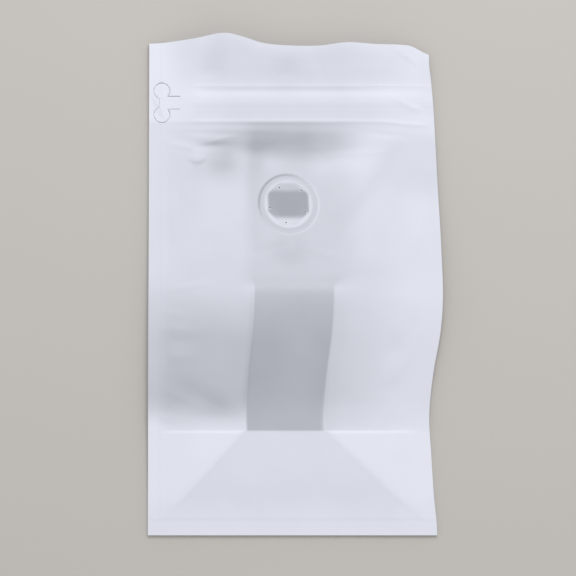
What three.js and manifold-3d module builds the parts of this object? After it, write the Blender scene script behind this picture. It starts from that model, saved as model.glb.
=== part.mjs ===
// Flat bottom coffee bag, empty and folded flat, lying on its back with its mouth towards +Y.
// Millimetres, +Z up, origin under the middle of the bag on the surface that it lies on.
import * as THREE from 'three';
import { mergeVertices } from 'three/addons/utils/BufferGeometryUtils.js';
import Module from 'manifold-3d';

const wasm = await Module();
wasm.setup();

// Film and folds
const bagWidth = 120; // flat width, edge to edge of the seals
const bagLength = 204; // bottom edge to mouth
const gussetReach = 43.5; // how far a side or bottom gusset folds in
const film = 0.14; // laminate thickness
const weldGap = 0.06; // clearance between two films that lie on each other
const foldEdge = 1.2; // half width of the rounded strip along a gusset fold
const foldRelief = 0.5; // base fold stops this far short of the tucks that wrap it
const sideSeal = 5.6; // width of the side seals
const bottomSeal = 7; // width of the seal along the bottom edge

// How the flattened bag lies
const edgeStack = 1.55; // thickness of all layers along the seals
const beltThickness = 3.0; // thickness between the base fold and the shipping crease
const baseThickness = 3.4; // thickness over the folded base
const shoulderThickness = 4.4; // thickness just under the zipper, beside the valve
const headerThickness = 6.4; // gap between front and back at the mouth
const creaseAt = 104; // shipping crease half way up
const creaseDepth = 0.5;
const creaseHalf = 2.5; // half the width of the shipping crease
const gussetStep = 0.3; // front stands this much higher over the side gussets
const cornerStep = 0.35; // and over the tucked corners of the base
const leftLift = 2.4; // left edge hovers over the table
const rightLift = 3.4; // right edge arches up past the shipping crease

// Press zipper inside the front
const zipperAt = 179; // rib line
const zipperHalf = 7.5; // half the width of both tapes together
const tape = 0.25; // tape thickness
const tapeLap = 2.6; // how far each tape passes the rib line
const tapeStep = 1.2; // length over which the lower tape dives under the upper one
const ribStem = 0.5;
const ribHead = 1.1;
const ribHeight = 1.0;
const jawWall = 0.35;
const jawHeight = 0.85;
const runningGap = 0.12; // clearance inside the zipper
const crushedShare = 0.34; // zipper thickness left where a side seal crushed it
const flattenedLeft = 20; // stretch at the left end where the zipper is pressed flat
const crushedRamp = 9.2; // length over which a crushed end regains its thickness
const zipperClearance = 0.35; // between the zipper and the gusset under it
const zipperRidge = 0.4; // height of the welded tape edges in the front film
const ridgeHalf = 1.1; // half the width of such a ridge

// Tear strip with its die-cut pull tab
const tabAt = new THREE.Vector2(-54.2, 179.3); // middle of the tab, from the bag's middle and bottom edge
const tabLobe = 3.3; // radius of each round end of the tab
const tabSpan = 9.8; // centre to centre of the two ends
const stripWidth = 5.2; // width of the strip that tears off
const stripStart = 7.4; // length of the cuts that start the strip, from the tab's middle
const slit = 0.3; // width of the cut

// One-way valve
const valveAt = new THREE.Vector2(-2.6, 137.3);
const valveHeight = 6.1; // height of the film over the valve
const flangeRadius = 12.25;
const flangeThickness = 0.8;
const chamberRadius = 9.3;
const valveDepth = 3.9;
const valveWall = 0.7;
const discThickness = 0.5;
const discClearance = 0.5; // room round the rubber disc
const filterThickness = 0.3;
const seatClearance = 0.1; // between valve parts that rest on each other
const capBar = 3.0; // width of the bars that hold the disc down
const capThickness = 0.6;
const pinholeRadius = 0.45;
const pinholeCircle = 7.7;
const pinholeCount = 5;
const pinholeTurn = 47; // degrees to the first pinhole
const gasHoleRadius = 0.8;
const gasHoleCircle = 3.2;
const flatMargin = 1.4; // flat film round the flange
const weldBead = 0.28; // height of the weld rings pressed into the film over the valve
const filmSag = 0.45; // film sinks this far over the chamber
const valveShoulder = 9; // film slopes down to the bag over this distance

const halfWidth = bagWidth / 2;
const pitch = film + weldGap;

// A smooth curve through points of [place, value], stretched so that it ends at the given place
function curve(points, end) {
  const stretch = end / points.at(-1)[0];
  const places = points.map((point) => point[0] * stretch);
  const values = points.map((point) => point[1]);
  const spline = new THREE.CubicInterpolant(places, values, 1);
  return (place) => spline.evaluate(THREE.MathUtils.clamp(place, places[0], places.at(-1)))[0];
}

// A wave whose height grows with the edge that it runs along
function wave(points, end) {
  const shape = curve(points, end);
  const growth = end / points.at(-1)[0];
  return (place) => shape(place) * growth;
}

const smooth = THREE.MathUtils.smoothstep;
const bump = (distance, reach) => Math.exp(-((distance / reach) ** 2));

// Outline: how far the right edge and the mouth stray from the flat rectangle
const rightEdge = wave([
  [0, 0], [17, -1.4], [34, -2.5], [50, -3.3], [67, -1.7], [84, 1.2],
  [97, 2.2], [117, 1.7], [146, 0.1], [176, -1.5], [204, -3.5],
], bagLength);
const mouthEdge = wave([
  [-60, -0.1], [-47, 1.2], [-36, 2.8], [-27.6, 4.5], [-20, 2.4], [-10, -0.2], [6, -1.3],
  [15, -1.2], [26, 0.3], [38, -0.6], [50, -1.0], [55, -3.4], [60, -4.6],
], halfWidth);
const headerFoot = zipperAt + zipperHalf;

// Where a point of the flat bag lies on the table
function placeX(across, along) {
  const carried = smooth(across, -halfWidth, -halfWidth + gussetReach);
  return across + carried * rightEdge(along) + (1 - carried) * 0.003 * along;
}

function placeY(across, along) {
  return along + mouthEdge(across) * smooth(along, headerFoot, bagLength) - bagLength / 2;
}

// Height of the back film over the table
const leftHover = curve([
  [0, 0], [30, 0.25], [62, 1], [84, 0.9], [118, 0.35], [150, 0.15], [204, 0.3],
], bagLength);
const rightArch = curve([
  [0, 0], [44, 0.1], [70, 0.5], [96, 1], [118, 0.75], [150, 0.3], [180, 0.12], [204, 0.5],
], bagLength);
const middleLift = wave([
  [0, 0], [104, 0], [116, 0.7], [150, 0.8], [161, 0], [172, 0], [190, 0.2], [204, 0.9],
], bagLength);

function backHeight(across, along) {
  const left = leftLift * leftHover(along) * smooth(-across, 32, halfWidth);
  const right = rightLift * rightArch(along) * smooth(across, 24, halfWidth);
  const middle = middleLift(along) * (1 - smooth(Math.abs(across), 14, 42));
  return film / 2 + Math.max(0, left + right + middle);
}

// Distance between the back and front films
const dipAt = zipperAt - 18; // the front dips here, between the valve and the zipper
const openAt = headerFoot + 17.5; // the mouth is fully open from here
const pillow = curve([
  [0, edgeStack], [bottomSeal, edgeStack + 0.2], [gussetReach - 19.5, baseThickness - 0.3],
  [gussetReach, baseThickness], [gussetReach + 10.5, beltThickness + 0.1], [gussetReach + 26.5, beltThickness],
  [creaseAt - 10, beltThickness + 0.3], [creaseAt, beltThickness + 0.5],
  [creaseAt + 14, shoulderThickness], [dipAt - 13, shoulderThickness + 0.3], [dipAt, 3.5], [dipAt + 7, 3.3],
  [zipperAt - zipperHalf, 3.7], [zipperAt, 4.1], [headerFoot, 3.8], [openAt - 9, 5.2], [openAt, headerThickness],
], openAt);
const mouthWave = wave([
  [-60, 0], [-44, 0.6], [-28, 2.4], [-14, 0.6], [0, -0.4], [14, -0.3], [28, 0.9], [42, 0.1], [52, 1.2], [60, 0],
], halfWidth);

// Creases pressed into the front: middle, turn in degrees, half length, half width, height
const creases = [
  { across: -38, along: 162.5, turn: -8, length: 11, width: 1.8, height: -0.55 },
  { across: -24, along: 163.5, turn: 8, length: 12, width: 2.2, height: -0.5 },
  { across: -30, along: 158, turn: -20, length: 8, width: 3.2, height: -0.4 },
  { across: -47, along: 80.5, turn: 2, length: 8, width: 2.4, height: -0.5 },
  { across: -48, along: 74, turn: 0, length: 8, width: 2.4, height: 0.45 },
  { across: -38, along: 60.5, turn: -24, length: 12, width: 2.8, height: -0.45 },
  { across: 42, along: 77, turn: 85, length: 5, width: 3, height: -0.5 },
  { across: 43, along: 60.6, turn: 85, length: 4, width: 3, height: -0.4 },
  { across: 34, along: 144, turn: 58, length: 20, width: 4, height: -0.5 },
  { across: -31, along: 193, turn: 30, length: 7, width: 4, height: -0.5 },
  { across: 1, along: 193, turn: 60, length: 6, width: 4, height: -0.45 },
];

function creaseHeight(across, along) {
  let height = 0;
  for (const crease of creases) {
    const turn = THREE.MathUtils.degToRad(crease.turn);
    const x = across - crease.across;
    const y = along - crease.along;
    const lengthwise = x * Math.cos(turn) + y * Math.sin(turn);
    const sideways = y * Math.cos(turn) - x * Math.sin(turn);
    height += crease.height * bump(lengthwise, crease.length) * bump(sideways, crease.width);
  }
  return height;
}

function smoothFront(across, along) {
  const inward = halfWidth - Math.abs(across);
  const swell = smooth(inward, sideSeal - 2, 24);
  const thickness = edgeStack + (pillow(along) - edgeStack) * swell;
  const ripple = mouthWave(across) * smooth(along, headerFoot + 2, bagLength + 2) * swell;
  const crease = creaseDepth * bump(along - creaseAt, creaseHalf) * (1 - smooth(Math.abs(across), 16, 26));
  const skirt = valveShoulder * (1 + 0.3 * bump(across, 30));
  const fromValve = Math.hypot(across - valveAt.x, along - valveAt.y) - flangeRadius - flatMargin;
  const boss = 1 - smooth(fromValve, 0, skirt);
  const loose = backHeight(across, along) + thickness + ripple - crease;
  return THREE.MathUtils.lerp(loose, valveHeight, boss);
}

// What stands up in the front: gusset and corner steps and the welded edges of the zipper
function raised(across, along) {
  const inward = halfWidth - Math.abs(across);
  const overGusset = 1 - smooth(inward, gussetReach - foldEdge, gussetReach);
  const gusset = gussetStep * overGusset * smooth(along, gussetReach, gussetReach + 9) * smooth(inward, sideSeal, 14);
  const tucked = smooth(along - inward, 0, 6) * (1 - smooth(along, gussetReach - foldEdge, gussetReach));
  const corner = cornerStep * tucked * smooth(inward, sideSeal - 2, sideSeal + 6);
  const alongZipper = smooth(across, flattenedLeft - halfWidth - 4, flattenedLeft - halfWidth + 3);
  const upper = 1 - smooth(Math.abs(along - headerFoot), 0, ridgeHalf);
  const lower = 1 - smooth(Math.abs(along - zipperAt + zipperHalf), 0, ridgeHalf);
  return gusset + corner + zipperRidge * Math.max(upper, lower) * alongZipper * smooth(inward, 1, sideSeal);
}

function frontHeight(across, along) {
  const inward = halfWidth - Math.abs(across);
  const fromValve = Math.hypot(across - valveAt.x, along - valveAt.y);
  const free = smooth(inward, sideSeal, 12) * smooth(fromValve, flangeRadius + flatMargin, flangeRadius + 6);
  const offZipper = smooth(Math.abs(along - zipperAt), zipperHalf + 1, zipperHalf + 5);
  const detail = creaseHeight(across, along) * free * offZipper;
  const loose = smooth(fromValve, flangeRadius + flatMargin, flangeRadius + 5);
  return smoothFront(across, along) + detail + raised(across, along) * loose;
}

// Full thickness of the zipper under the front film, thinner where it is crushed or pressed flat
const zipperDepth = tape + ribHeight + runningGap + tape + weldGap;

function zipperShare(across) {
  const inward = halfWidth - Math.abs(across);
  const start = across < 0 ? flattenedLeft - 5 : sideSeal;
  return crushedShare + (1 - crushedShare) * THREE.MathUtils.clamp((inward - start) / crushedRamp, 0, 1);
}

function zipperRoom(across, along) {
  const inside = 1 - smooth(Math.abs(along - zipperAt), zipperHalf + 1, zipperHalf + 7);
  return inside * (zipperShare(across) * zipperDepth + zipperClearance);
}

// Heights of the folded layers between front and back
function layerHeight(layer, across, along) {
  const front = smoothFront(across, along);
  const back = backHeight(across, along);
  const room = zipperRoom(across, along);
  const air = Math.max(front - back - room - 7 * pitch, 0);
  const open = smooth(halfWidth - Math.abs(across), sideSeal, 16);
  const share = (0.02 + 0.23 * open) * air;
  const heights = {
    sideUpper: front - room - pitch - share * 1.7,
    tuckUpper: front - room - 2 * pitch - share * 1.9,
    baseUpper: front - room - 3 * pitch - share * 2.1,
    baseLower: back + 3 * pitch + share * 1.6,
    tuckLower: back + 2 * pitch + share * 1.4,
    sideLower: back + pitch + share,
  };
  return heights[layer];
}

function filmPoint(layer, across, along) {
  const height = layer === 'front' ? frontHeight(across, along)
    : layer === 'back' ? backHeight(across, along) : layerHeight(layer, across, along);
  return new THREE.Vector3(placeX(across, along), placeY(across, along), height);
}

function foldPoint(upper, lower, across, along) {
  return filmPoint(upper, across, along).lerp(filmPoint(lower, across, along), 0.5);
}

// Grid lines. Up to the gusset's reach, lines across and along match, so a tuck folds onto the grid.
function gussetLines(step) {
  const inner = gussetReach - foldEdge;
  const count = Math.round((inner - sideSeal) / step);
  const lines = [0, sideSeal];
  for (let i = 1; i < count; i += 1) {
    lines.push(sideSeal + (inner - sideSeal) * i / count);
  }
  return [...lines, inner, gussetReach];
}

function linesAcross(step) {
  const side = gussetLines(step).map((line) => line - halfWidth);
  const middleCount = Math.round((bagWidth - 2 * gussetReach) / step);
  const middle = [];
  for (let i = 1; i < middleCount; i += 1) {
    middle.push((i / middleCount - 0.5) * (bagWidth - 2 * gussetReach));
  }
  return [...side, ...middle, ...side.map((line) => -line).reverse()];
}

function linesAlong(step, gussetWidth, ridged) {
  const edges = [zipperAt - zipperHalf, headerFoot];
  const ridges = ridged ? edges.flatMap((at) => [at - ridgeHalf, at, at + ridgeHalf]) : edges;
  const marks = [gussetReach, creaseAt - creaseHalf, creaseAt, creaseAt + creaseHalf, dipAt, ...ridges, bagLength];
  const lines = gussetLines(gussetWidth);
  for (let i = 1; i < marks.length; i += 1) {
    const count = Math.max(1, Math.round((marks[i] - marks[i - 1]) / step));
    for (let k = 1; k <= count; k += 1) {
      lines.push(marks[i - 1] + (marks[i] - marks[i - 1]) * k / count);
    }
  }
  return lines;
}

const fineAcross = linesAcross(5.8);
const fineAlong = linesAlong(5.6, 5.8, true);
const coarseAcross = linesAcross(crushedRamp);
const coarseGusset = gussetLines(crushedRamp);
const coarseAlong = linesAlong(8, crushedRamp, false);

// A closed body from a grid of upper and lower points
function closedGrid(columns, rows, upper, lower, splitBack = () => false) {
  const positions = [];
  const faces = [];
  const wide = columns.length;
  const high = rows.length;
  for (const side of [upper, lower]) {
    for (const row of rows) {
      for (const column of columns) {
        positions.push(...side(column, row).toArray());
      }
    }
  }
  const at = (i, j, side) => side * wide * high + j * wide + i;
  const quad = (a, b, c, d) => faces.push(a, b, c, a, c, d);
  for (let j = 0; j < high - 1; j += 1) {
    for (let i = 0; i < wide - 1; i += 1) {
      for (const side of [0, 1]) {
        const corners = [at(i, j, side), at(i + 1, j, side), at(i + 1, j + 1, side), at(i, j + 1, side)];
        if (splitBack(i, j)) {
          corners.push(corners.shift());
        }
        if (side === 1) {
          corners.reverse();
          corners.unshift(corners.pop());
        }
        quad(...corners);
      }
    }
  }
  for (let i = 0; i < wide - 1; i += 1) {
    quad(at(i, 0, 1), at(i + 1, 0, 1), at(i + 1, 0, 0), at(i, 0, 0));
    quad(at(i + 1, high - 1, 1), at(i, high - 1, 1), at(i, high - 1, 0), at(i + 1, high - 1, 0));
  }
  for (let j = 0; j < high - 1; j += 1) {
    quad(at(0, j + 1, 1), at(0, j, 1), at(0, j, 0), at(0, j + 1, 0));
    quad(at(wide - 1, j, 1), at(wide - 1, j + 1, 1), at(wide - 1, j + 1, 0), at(wide - 1, j, 0));
  }
  return facingOut(positions, faces);
}

function facingOut(positions, faces) {
  const geometry = new THREE.BufferGeometry();
  geometry.setAttribute('position', new THREE.Float32BufferAttribute(positions, 3));
  const corner = [0, 1, 2].map(() => new THREE.Vector3());
  let volume = 0;
  for (let i = 0; i < faces.length; i += 3) {
    corner.forEach((point, k) => point.fromArray(positions, faces[i + k] * 3));
    volume += corner[0].dot(corner[1].cross(corner[2]));
  }
  geometry.setIndex(volume < 0 ? faces.slice().reverse() : faces);
  return geometry;
}

// A film: half its thickness to each side of its middle surface, along the way that it faces
function filmBody(columns, rows, point, facing, splitBack) {
  const offset = (sign) => (column, row) => point(column, row).addScaledVector(facing(column, row), sign * film / 2);
  return closedGrid(columns, rows, offset(1), offset(-1), splitBack);
}

const up = new THREE.Vector3(0, 0, 1);

function solid(geometry) {
  const bare = geometry.clone();
  bare.deleteAttribute('normal');
  bare.deleteAttribute('uv');
  const merged = mergeVertices(bare, 1e-3);
  return new wasm.Manifold(new wasm.Mesh({
    numProp: 3,
    vertProperties: new Float32Array(merged.attributes.position.array),
    triVerts: new Uint32Array(merged.index.array),
  }));
}

function geometryOf(manifold) {
  const mesh = manifold.getMesh();
  const geometry = new THREE.BufferGeometry();
  geometry.setAttribute('position', new THREE.BufferAttribute(mesh.vertProperties, 3));
  geometry.setIndex(new THREE.BufferAttribute(mesh.triVerts, 1));
  return geometry;
}

function cutAway(geometry, cutters) {
  const left = cutters.reduce((body, cutter) => body.subtract(solid(cutter)), solid(geometry));
  return geometryOf(left);
}

// Front: one film, with the weld rings of the valve pressed into it
function frontPanel() {
  const middle = fineAcross.length / 2;
  const sheet = filmBody(
    fineAcross, fineAlong, (across, along) => filmPoint('front', across, along), () => up, (i) => i >= middle,
  );
  const opened = solid(sheet).subtract(solid(discOf(patchRadius - film, valveHeight - 1, 2)));
  return cutAway(geometryOf(opened.add(solid(valvePatch()))), [...pinholes(), tabSlit()]);
}

function valvePatch() {
  const section = [
    [0, -filmSag], [chamberRadius - 2.6, -filmSag], [chamberRadius - 1.2, -filmSag / 3], [chamberRadius, 0],
    [chamberRadius + 0.6, weldBead], [chamberRadius + 1.3, 0], [flangeRadius - 0.5, 0],
    [flangeRadius, weldBead], [flangeRadius + 0.6, 0], [patchRadius, 0],
  ];
  const side = (sign) => section.map(([radius, height]) => [radius, valveHeight + height + sign * film / 2]);
  return turned([...side(-1), ...side(1).reverse()]);
}

function backPanel() {
  return filmBody(coarseAcross, coarseAlong, (across, along) => filmPoint('back', across, along), () => up);
}

// Base panel: one sheet, folded upwards between front and back
function bottomGusset() {
  const fold = gussetReach - foldRelief;
  const rows = [...coarseGusset, ...coarseGusset.slice(0, -1).reverse().map((line) => 2 * gussetReach - line)];
  const along = (row) => Math.min(row, 2 * gussetReach - row) * fold / gussetReach;
  const point = (across, row) => {
    if (row === gussetReach) {
      return foldPoint('baseUpper', 'baseLower', across, fold);
    }
    return filmPoint(row < gussetReach ? 'baseUpper' : 'baseLower', across, along(row));
  };
  const facing = (across, row) => {
    const rise = Math.sign(gussetReach - row);
    return new THREE.Vector3(0, rise === 0 ? 1 : 0, rise);
  };
  return filmBody(coarseAcross, rows, point, facing);
}

// Side gusset: folded inwards along its middle, with its foot tucked over along two slanted folds
function sideGusset(side) {
  const columns = [...coarseGusset, ...coarseGusset.slice(0, -1).reverse().map((line) => 2 * gussetReach - line)];
  const middleColumn = coarseGusset.length - 1;
  const describe = (column, row) => {
    const depth = Math.min(column, 2 * gussetReach - column);
    return { depth, half: Math.sign(gussetReach - column), tucked: depth > row, slanted: depth === row };
  };
  const point = (column, row) => {
    const { depth, half, tucked, slanted } = describe(column, row);
    const across = side * (halfWidth - Math.min(depth, tucked ? row : depth));
    const along = tucked ? depth : row;
    if (half === 0) {
      return tucked ? foldPoint('tuckUpper', 'tuckLower', across, along)
        : foldPoint('sideUpper', 'sideLower', across, along);
    }
    const ends = half > 0 ? ['sideUpper', 'tuckUpper'] : ['sideLower', 'tuckLower'];
    if (slanted) {
      return foldPoint(...ends, across, along);
    }
    return filmPoint(ends[tucked ? 1 : 0], across, along);
  };
  const facing = (column, row) => {
    const { half, tucked, slanted } = describe(column, row);
    if (slanted) {
      return new THREE.Vector3(-side, -1, 0).normalize();
    }
    if (half === 0) {
      return tucked ? new THREE.Vector3(0, -1, 0) : new THREE.Vector3(-side, 0, 0);
    }
    return new THREE.Vector3(0, 0, tucked ? -half : half);
  };
  return filmBody(columns, coarseAlong, point, facing, (i) => i >= middleColumn);
}

// Zipper: each tape is one profile of [along, depth under the front film], swept across the bag
function upperTapeProfile() {
  const stem = ribStem / 2;
  const head = ribHead / 2;
  const tip = tape + ribHeight;
  return [
    [zipperHalf, 0], [zipperHalf, tape], [stem, tape], [stem, tip - 0.45], [head, tip - 0.35], [stem, tip],
    [-stem, tip], [-head, tip - 0.35], [-stem, tip - 0.45], [-stem, tape], [-tapeLap, tape], [-tapeLap, 0],
  ];
}

function lowerTapeProfile() {
  const floor = tape + ribHeight + runningGap;
  const bore = ribHead / 2 + runningGap;
  const lip = ribStem / 2 + runningGap;
  const wall = bore + jawWall;
  const top = floor - jawHeight;
  const groove = floor + tape / 4;
  return [
    [tapeLap, floor], [wall, floor], [wall, top], [lip, top], [bore, top + 0.2], [bore, groove],
    [-bore, groove], [-bore, top + 0.2], [-lip, top], [-wall, top], [-wall, floor], [-tapeLap, floor],
    [-tapeLap - tapeStep, 0], [-zipperHalf, 0], [-zipperHalf, tape], [-tapeLap - tapeStep - tape, tape],
    [-tapeLap - tape, floor + tape], [tapeLap, floor + tape],
  ];
}

function zipperTape(profile) {
  const stations = fineAcross.filter((across) => Math.abs(across) < halfWidth);
  stations.unshift(-halfWidth + 1);
  stations.push(halfWidth - 1);
  const outline = profile.map(([along, depth]) => new THREE.Vector2(along, depth));
  if (THREE.ShapeUtils.isClockWise(outline)) {
    outline.reverse();
  }
  const positions = [];
  for (const across of stations) {
    for (const { x: along, y: depth } of outline) {
      const place = zipperAt + along;
      const drop = film / 2 + 1.5 * weldGap + depth * zipperShare(across);
      positions.push(placeX(across, place), placeY(across, place), smoothFront(across, place) - drop);
    }
  }
  const ring = outline.length;
  const faces = [];
  for (let i = 0; i < stations.length - 1; i += 1) {
    for (let k = 0; k < ring; k += 1) {
      const a = i * ring + k;
      const b = i * ring + (k + 1) % ring;
      faces.push(a, b, b + ring, a, b + ring, a + ring);
    }
  }
  const cap = THREE.ShapeUtils.triangulateShape(outline, []);
  const last = (stations.length - 1) * ring;
  for (const [a, b, c] of cap) {
    faces.push(c, b, a, last + a, last + b, last + c);
  }
  return facingOut(positions, faces);
}

// Cutters
function pinholes() {
  const cutters = [];
  for (let i = 0; i < pinholeCount; i += 1) {
    const angle = THREE.MathUtils.degToRad(pinholeTurn + 360 * i / pinholeCount);
    const cutter = new THREE.CylinderGeometry(pinholeRadius, pinholeRadius, 4, 8);
    cutter.rotateX(Math.PI / 2);
    cutter.translate(valveX + pinholeCircle * Math.cos(angle), valveY + pinholeCircle * Math.sin(angle), valveHeight);
    cutters.push(cutter);
  }
  return cutters;
}

// The pull tab's cut runs round both lobes and leaves the strip's neck whole
function tabSlit() {
  const middle = tabAt.clone().sub(new THREE.Vector2(0, bagLength / 2));
  const lift = tabSpan / 2;
  const path = new THREE.Path();
  const corner = THREE.MathUtils.degToRad(44);
  const waist = THREE.MathUtils.degToRad(72);
  path.moveTo(middle.x + stripStart, middle.y + stripWidth / 2);
  path.lineTo(middle.x + tabLobe, middle.y + stripWidth / 2);
  path.absarc(middle.x, middle.y + lift, tabLobe, -corner, Math.PI + waist);
  path.absarc(middle.x, middle.y - lift, tabLobe, Math.PI - waist, 2 * Math.PI + corner);
  path.lineTo(middle.x + stripStart, middle.y - stripWidth / 2);
  const points = path.getPoints(6);
  const line = points.filter((point, i) => i === 0 || point.distanceTo(points[i - 1]) > slit);
  const edge = (i, side, height) => {
    const way = line[Math.min(i + 1, line.length - 1)].clone().sub(line[Math.max(i - 1, 0)]).normalize();
    const point = line[i];
    return new THREE.Vector3(point.x - side * way.y * slit / 2, point.y + side * way.x * slit / 2, height);
  };
  const cutTop = 2 * valveHeight;
  return closedGrid([...line.keys()], [-1, 1], (i, side) => edge(i, side, cutTop), (i, side) => edge(i, side, 0));
}

// Valve: a welded body under the film, a rubber disc on its floor, a cap that holds the disc down
const valveX = placeX(valveAt.x, valveAt.y);
const valveY = placeY(valveAt.x, valveAt.y);
const patchRadius = flangeRadius + flatMargin - 2 * film;
const valveTop = valveHeight - film / 2 - weldGap;
const floorTop = valveTop - valveDepth + filterThickness + valveWall;
const round = 24;

function turned(profile) {
  const points = profile.map(([radius, height]) => new THREE.Vector2(radius, height));
  const geometry = new THREE.LatheGeometry([...points, points[0].clone()], round);
  geometry.rotateX(Math.PI / 2);
  geometry.translate(valveX, valveY, 0);
  return facingOutOf(geometry);
}

function facingOutOf(geometry) {
  const merged = mergeVertices(bareCopy(geometry), 1e-3);
  const index = Array.from(merged.index.array);
  const kept = [];
  for (let i = 0; i < index.length; i += 3) {
    const [a, b, c] = index.slice(i, i + 3);
    if (a !== b && b !== c && a !== c) {
      kept.push(a, b, c);
    }
  }
  return facingOut(Array.from(merged.attributes.position.array), kept);
}

function bareCopy(geometry) {
  const bare = geometry.clone();
  bare.deleteAttribute('normal');
  bare.deleteAttribute('uv');
  return bare;
}

function valveBase() {
  const bottom = valveTop - valveDepth;
  const cup = chamberRadius + valveWall;
  const body = turned([
    [0, floorTop], [chamberRadius, floorTop], [chamberRadius, valveTop], [flangeRadius, valveTop],
    [flangeRadius, valveTop - flangeThickness], [cup, valveTop - flangeThickness], [cup - 0.4, bottom],
    [cup - 1.2, bottom], [cup - 1.2, bottom + filterThickness], [0, bottom + filterThickness],
  ]);
  const holes = [0, 1, 2, 3].map((turn) => {
    const hole = new THREE.CylinderGeometry(gasHoleRadius, gasHoleRadius, 3 * valveWall, 10);
    hole.rotateX(Math.PI / 2);
    const angle = turn * Math.PI / 2;
    hole.translate(valveX + gasHoleCircle * Math.cos(angle), valveY + gasHoleCircle * Math.sin(angle), floorTop);
    return hole;
  });
  return cutAway(body, holes);
}

function discOf(radius, bottom, thickness) {
  const geometry = new THREE.CylinderGeometry(radius, radius, thickness, round);
  geometry.rotateX(Math.PI / 2);
  geometry.translate(valveX, valveY, bottom + thickness / 2);
  return geometry;
}

const discRadius = chamberRadius - discClearance;

function valveDisc() {
  return discOf(discRadius, floorTop + seatClearance, discThickness);
}

function valveFilter() {
  const cup = chamberRadius + valveWall;
  return discOf(cup - 1.2 - seatClearance, valveTop - valveDepth, filterThickness - seatClearance);
}

// Cap: a ring snapped into the chamber, with crossed bars over the rubber disc
function valveCap() {
  const bottom = floorTop + seatClearance + discThickness + seatClearance;
  const outer = chamberRadius - seatClearance;
  const inner = outer - valveWall;
  const height = valveTop - bottom - seatClearance;
  const ring = turned([
    [inner, bottom], [outer, bottom], [outer, bottom + height], [inner, bottom + height],
  ]);
  const bars = [0, 1].map((turn) => {
    const bar = new THREE.BoxGeometry(2 * inner + valveWall, capBar, capThickness);
    bar.rotateZ(Math.PI / 4 + turn * Math.PI / 2);
    bar.translate(valveX, valveY, bottom + capThickness / 2);
    return bar;
  });
  return geometryOf(bars.reduce((body, bar) => body.add(solid(bar)), solid(ring)));
}

// Finishes
const filmFinish = { color: 0xe6eaf1, roughness: 0.62, metalness: 0 };
const plasticFinish = { color: 0xdfe3ea, roughness: 0.45, metalness: 0 };
const rubberFinish = { color: 0x4a4d52, roughness: 0.8, metalness: 0 };
const paperFinish = { color: 0xd9d2c3, roughness: 0.95, metalness: 0 };

const bag = new THREE.Group();

function addPiece(name, geometry, finish) {
  const mesh = new THREE.Mesh(geometry, new THREE.MeshStandardMaterial(finish));
  mesh.name = name;
  bag.add(mesh);
}

addPiece('front_panel', frontPanel(), filmFinish);
addPiece('back_panel', backPanel(), filmFinish);
addPiece('bottom_gusset', bottomGusset(), filmFinish);
addPiece('left_side_gusset', sideGusset(-1), filmFinish);
addPiece('right_side_gusset', sideGusset(1), filmFinish);
addPiece('zipper_upper_tape', zipperTape(upperTapeProfile()), plasticFinish);
addPiece('zipper_lower_tape', zipperTape(lowerTapeProfile()), plasticFinish);
addPiece('valve_base', valveBase(), plasticFinish);
addPiece('valve_disc', valveDisc(), rubberFinish);
addPiece('valve_cap', valveCap(), plasticFinish);
addPiece('valve_filter', valveFilter(), paperFinish);

// The origin goes under the middle of the bag
const box = new THREE.Box3().setFromObject(bag);
const middleOfBag = box.getCenter(new THREE.Vector3());
bag.position.set(-middleOfBag.x, -middleOfBag.y, -box.min.z);

export default bag;
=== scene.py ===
# Empty flat bottom coffee bag, folded flat and lying on its back, seen from straight above
import math
import bpy
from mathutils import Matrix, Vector, noise


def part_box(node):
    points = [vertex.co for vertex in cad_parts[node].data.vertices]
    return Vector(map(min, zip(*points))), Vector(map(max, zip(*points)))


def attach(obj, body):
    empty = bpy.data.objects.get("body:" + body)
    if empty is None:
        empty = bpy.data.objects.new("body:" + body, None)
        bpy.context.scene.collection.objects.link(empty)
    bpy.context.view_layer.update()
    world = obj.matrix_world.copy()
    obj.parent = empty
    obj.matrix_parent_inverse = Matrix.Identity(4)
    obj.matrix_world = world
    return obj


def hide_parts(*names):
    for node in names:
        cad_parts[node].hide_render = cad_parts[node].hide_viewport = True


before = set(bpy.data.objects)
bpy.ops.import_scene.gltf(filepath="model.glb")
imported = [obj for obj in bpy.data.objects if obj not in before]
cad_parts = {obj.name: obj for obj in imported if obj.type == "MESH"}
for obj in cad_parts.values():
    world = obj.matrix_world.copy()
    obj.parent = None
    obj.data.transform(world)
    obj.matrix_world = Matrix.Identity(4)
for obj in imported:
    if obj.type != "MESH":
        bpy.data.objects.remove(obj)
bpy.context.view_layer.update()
mm = 0.001
nearly = 1e-6

# Film sizes are in millimetres and follow the frame's folded layers. "across" runs from the bag's
# middle to the right, "along" from its base to its mouth, "inward" from the nearer side edge.
# A pair of numbers says where a soft change begins and ends.
bag = dict(width=120.0, length=204.0, gusset=43.5, film=0.14, weldGap=0.06, sideSeal=5.6, bottomSeal=7.0)
zipper = dict(at=179.0, half=7.5, tape=0.25, rib=1.0, running=0.12, clearance=0.35, roomEnd=(1.0, 7.0),
              crushed=0.34, leftStart=15.0, ramp=9.2)
valve = dict(across=-2.6, along=137.3, height=6.1, flange=12.25, chamber=9.3, margin=1.4,
             skirt=9.0, skirtGrowth=0.3, skirtReach=30.0, bead=0.11, sag=0.4, sagEdge=(-3.4, -0.5))
halfWidth = bag["width"] / 2
pitch = bag["film"] + bag["weldGap"]
headerFoot = zipper["at"] + zipper["half"]
zipperFoot = zipper["at"] - zipper["half"]
valveEdge = valve["flange"] + valve["margin"]


def clamp(value, low=0.0, high=1.0):
    return max(low, min(high, value))


def smooth(value, low, high):
    share = clamp((value - low) / (high - low))
    return share * share * (3 - 2 * share)


def fall(value, low, high):
    return 1 - smooth(value, low, high)


def mix(a, b, share):
    return a + (b - a) * share


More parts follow.
